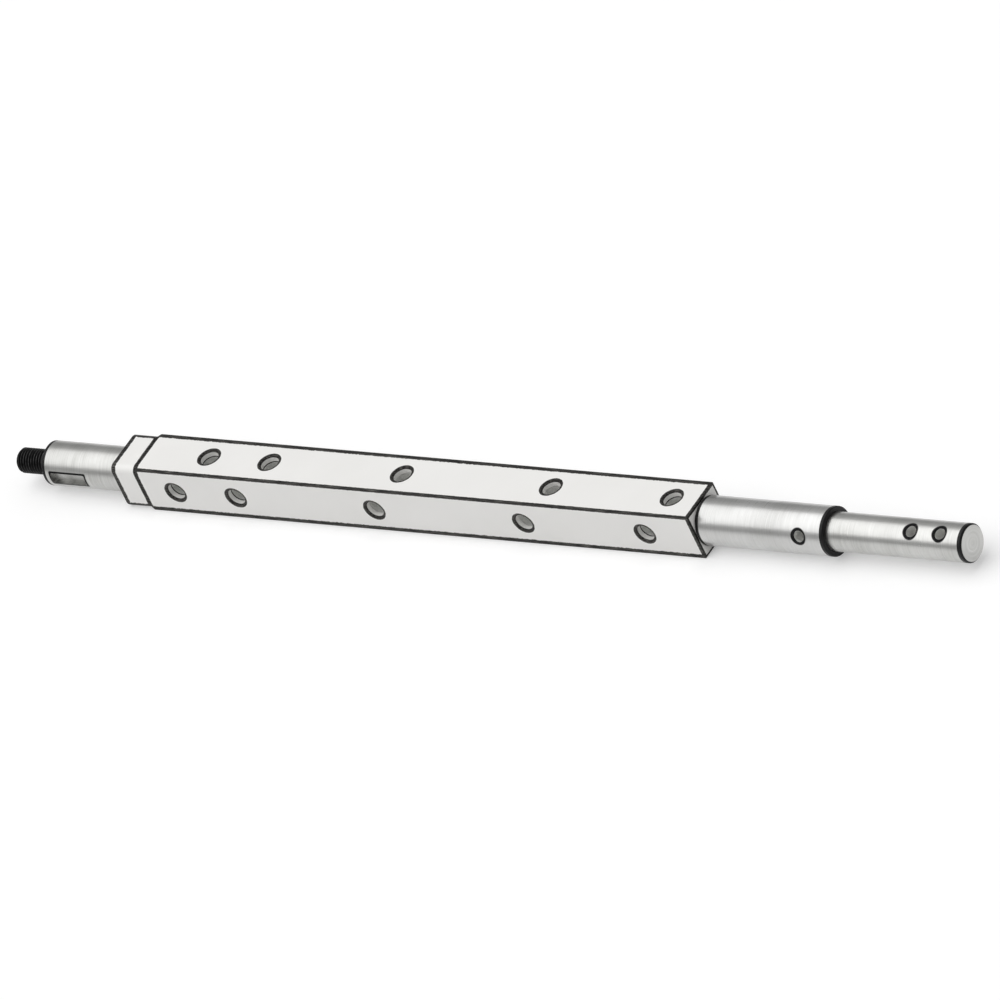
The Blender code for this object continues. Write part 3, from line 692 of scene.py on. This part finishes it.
for end in (-1, 1):
    bpy.ops.mesh.select_all(action='DESELECT')
    bm = bmesh.from_edit_mesh(thread.data)
    for edge in bm.edges:
        if edge.is_boundary and (edge.verts[0].co.z - middle) * end > 0:
            edge.select_set(True)
    bmesh.update_edit_mesh(thread.data)
    bpy.ops.mesh.extrude_region_move(TRANSFORM_OT_translate={"value": (0, 0, end * THREAD_PITCH)})
    bpy.ops.mesh.merge(type='CENTER')
bpy.ops.mesh.select_all(action='SELECT')
bpy.ops.mesh.normals_make_consistent(inside=False)
bpy.ops.object.mode_set(mode='OBJECT')
thread.matrix_world = Matrix.Translation((STUD_LOW.x - 1.5 * THREAD_PITCH, 0, 0)) @ ALONG_BEAM
bpy.ops.object.transform_apply(location=True, rotation=True, scale=True)
thread.data.materials.append(STUD_OXIDE)
envelope = STUD_RADIUS + FIT_GAP
stud_blank = turned("stud_blank", [
    (STUD_LOW.x, STUD_RADIUS - STUD_BREAK), (STUD_LOW.x + STUD_BREAK + FIT_GAP, envelope),
    (STUD_HIGH.x - STUD_BREAK - FIT_GAP, envelope), (STUD_HIGH.x, STUD_RADIUS - STUD_BREAK)],
    STUD_OXIDE, ALONG_BEAM)
combine(thread, 'INTERSECT', [stud_blank])
seat(thread, "drive_end", "threaded_stud")

# Outboard end: a bar with a square plug, which carries the bearing sleeve and ends as the drilled spigot.

spigot_edge = OUTBOARD_HIGH.x - SHAFT_BREAK - BLACK_EDGE
spigot_start = BEAM_HIGH.x + FIT_GAP
plug_end = BEAM_HIGH.x - RELIEF_LENGTH
spigot = turned("drilled_spigot", [
    (OUTBOARD_HIGH.x, SPIGOT_RADIUS - SHAFT_BREAK), (OUTBOARD_HIGH.x - SHAFT_BREAK, SPIGOT_RADIUS),
    (spigot_edge, SPIGOT_RADIUS), (spigot_start, SPIGOT_RADIUS), (spigot_start, RELIEF_RADIUS),
    (plug_end - OVERRUN, RELIEF_RADIUS)], BRIGHT_BAR, ALONG_BEAM)
combine(spigot, 'UNION', [squared("outboard_plug", OUTBOARD_LOW.x, plug_end, PLUG_HALF, PLUG_CORNER_RADIUS,
                                  CORNER_STEPS, MILLED_PLUG, [(OUTBOARD_LOW.x, PLUG_LEAD_IN)])])
combine(spigot, 'DIFFERENCE', bolt_drills(
    [TOP_HOLES[4], TOP_HOLES[4] - SLIDE_TRAVEL], [FRONT_HOLES[4], FRONT_HOLES[4] - SLIDE_TRAVEL],
    PLUG_HALF, PLUG_HOLE_BREAK, DRILLED_BORE, SPIGOT_OXIDE))
spigot_pins = [pin_drill(x, SPIGOT_PIN_ANGLE, SPIGOT_RADIUS, SPIGOT_OXIDE) for x in SPIGOT_PIN_HOLES]
spigot_pins.append(pin_drill(SLEEVE_PIN_HOLE, SLEEVE_PIN_ANGLE, SLEEVE_RADIUS, SPIGOT_OXIDE))
combine(spigot, 'DIFFERENCE', spigot_pins)
finish_where(spigot, lambda middle, normal: middle.x > spigot_edge and normal.x < 0.9, SPIGOT_OXIDE)
seat(spigot, "outboard_end", "outboard_stub")

sleeve_bore = SPIGOT_RADIUS + FIT_GAP
sleeve_edge = SLEEVE_BREAK + BLACK_EDGE
sleeve = turned("ground_bearing_sleeve", [
    (SLEEVE_LOW.x, SLEEVE_RADIUS - SLEEVE_BREAK), (SLEEVE_LOW.x + SLEEVE_BREAK, SLEEVE_RADIUS),
    (SLEEVE_LOW.x + sleeve_edge, SLEEVE_RADIUS), (SLEEVE_HIGH.x - sleeve_edge, SLEEVE_RADIUS),
    (SLEEVE_HIGH.x - SLEEVE_BREAK, SLEEVE_RADIUS), (SLEEVE_HIGH.x, SLEEVE_RADIUS - SLEEVE_BREAK),
    (SLEEVE_HIGH.x, sleeve_bore), (SLEEVE_LOW.x, sleeve_bore),
    (SLEEVE_LOW.x, SLEEVE_RADIUS - SLEEVE_BREAK)], GROUND_SLEEVE, ALONG_BEAM)
combine(sleeve, 'DIFFERENCE', [pin_drill(SLEEVE_PIN_HOLE, SLEEVE_PIN_ANGLE, SLEEVE_RADIUS, SLEEVE_OXIDE)])
finish_where(sleeve, lambda middle, normal: middle.x < SLEEVE_LOW.x + sleeve_edge, SLEEVE_OXIDE)
finish_where(sleeve, lambda middle, normal: middle.x > SLEEVE_HIGH.x - sleeve_edge, SLEEVE_OXIDE)
seat(sleeve, "outboard_end", "bearing_sleeve")


# Studio: a white floor that keeps the shadow, a pale sky and one soft sun.

FLOOR_SIZE = 16
FLOOR_DROP = 0.1 * MM
FLOOR_LIFT = 0.31
SKY_LOW = 0.3
SKY_HIGH = 0.55
KEY_STRENGTH = 1.6
KEY_SPREAD = math.radians(80)
KEY_DIRECTION = Vector((0.42, 0.24, -0.88))


def white_floor():
    """Matt white board. What the camera and reflections see of it is lifted to white."""
    material = bpy.data.materials.new("studio_floor_white_board")
    material.use_nodes = True
    tree = material.node_tree
    tree.nodes.remove(tree.nodes["Principled BSDF"])
    board = add(tree, "ShaderNodeBsdfDiffuse", {"Color": colour("#E1E1E1")})
    path = add(tree, "ShaderNodeLightPath").outputs
    seen = path["Is Camera Ray"]
    for ray in ("Is Glossy Ray", "Is Transmission Ray"):
        seen = add(tree, "ShaderNodeMath", {0: seen, 1: path[ray]}, operation='MAXIMUM').outputs[0]
    lift = add(tree, "ShaderNodeMath", {0: seen, 1: FLOOR_LIFT}, operation='MULTIPLY').outputs[0]
    glow = add(tree, "ShaderNodeEmission", {"Strength": lift})
    both = add(tree, "ShaderNodeAddShader", {0: board.outputs[0], 1: glow.outputs[0]})
    tree.links.new(both.outputs[0], tree.nodes["Material Output"].inputs["Surface"])
    return material


bpy.ops.object.select_all(action='DESELECT')
bpy.ops.mesh.primitive_plane_add(size=FLOOR_SIZE, location=(0, 0, -FLOOR_DROP))
floor = bpy.context.object
floor.name = "studio_floor"
floor.data.materials.append(white_floor())

world = bpy.data.worlds.new("pale_studio")
bpy.context.scene.world = world
world.use_nodes = True
sky = world.node_tree
direction = add(sky, "ShaderNodeTexCoord").outputs["Generated"]
height = add(sky, "ShaderNodeSeparateXYZ", {0: direction}).outputs["Z"]
shade = add(sky, "ShaderNodeMapRange", {
    "Value": height, "From Min": 0.0, "From Max": 0.8, "To Min": SKY_LOW, "To Max": SKY_HIGH})
sky.links.new(shade.outputs[0], sky.nodes["Background"].inputs["Strength"])
sky.nodes["Background"].inputs["Color"].default_value = colour("#FFFFFF")

bpy.ops.object.light_add(type='SUN', location=(-1, -1, 3))
key = bpy.context.object
key.name = "soft_key_sun"
key.data.energy = KEY_STRENGTH
key.data.angle = KEY_SPREAD
key.rotation_euler = KEY_DIRECTION.to_track_quat('-Z', 'Y').to_euler()


# Camera: a very long lens, because the drawing's long edges run parallel.

CAMERA_AZIMUTH = math.radians(46.7675)
CAMERA_ELEVATION = math.radians(34.5239)
CAMERA_ROLL = math.radians(-26.0668)
CAMERA_DISTANCE = 42.0
FRAME_WIDTH = 0.91982
SHIFT_RIGHT = 0.00554
SHIFT_UP = 0.00115
SENSOR_WIDTH = 36

toward_camera = Vector((math.sin(CAMERA_AZIMUTH) * math.cos(CAMERA_ELEVATION),
                        -math.cos(CAMERA_AZIMUTH) * math.cos(CAMERA_ELEVATION), math.sin(CAMERA_ELEVATION)))
turn = (-toward_camera).to_track_quat('-Z', 'Y').to_matrix().to_4x4() @ Matrix.Rotation(CAMERA_ROLL, 4, 'Z')
target = Vector(AXIS_POINT) + turn.to_3x3() @ Vector((SHIFT_RIGHT, SHIFT_UP, 0))
bpy.ops.object.camera_add()
camera = bpy.context.object
camera.name = "drawing_view"
camera.matrix_world = Matrix.Translation(target + CAMERA_DISTANCE * toward_camera) @ turn
camera.data.sensor_width = SENSOR_WIDTH
camera.data.lens = SENSOR_WIDTH * CAMERA_DISTANCE / FRAME_WIDTH
camera.data.clip_start = 1
camera.data.clip_end = 120
bpy.context.scene.camera = camera

bpy.context.scene.view_settings.view_transform = 'Standard'
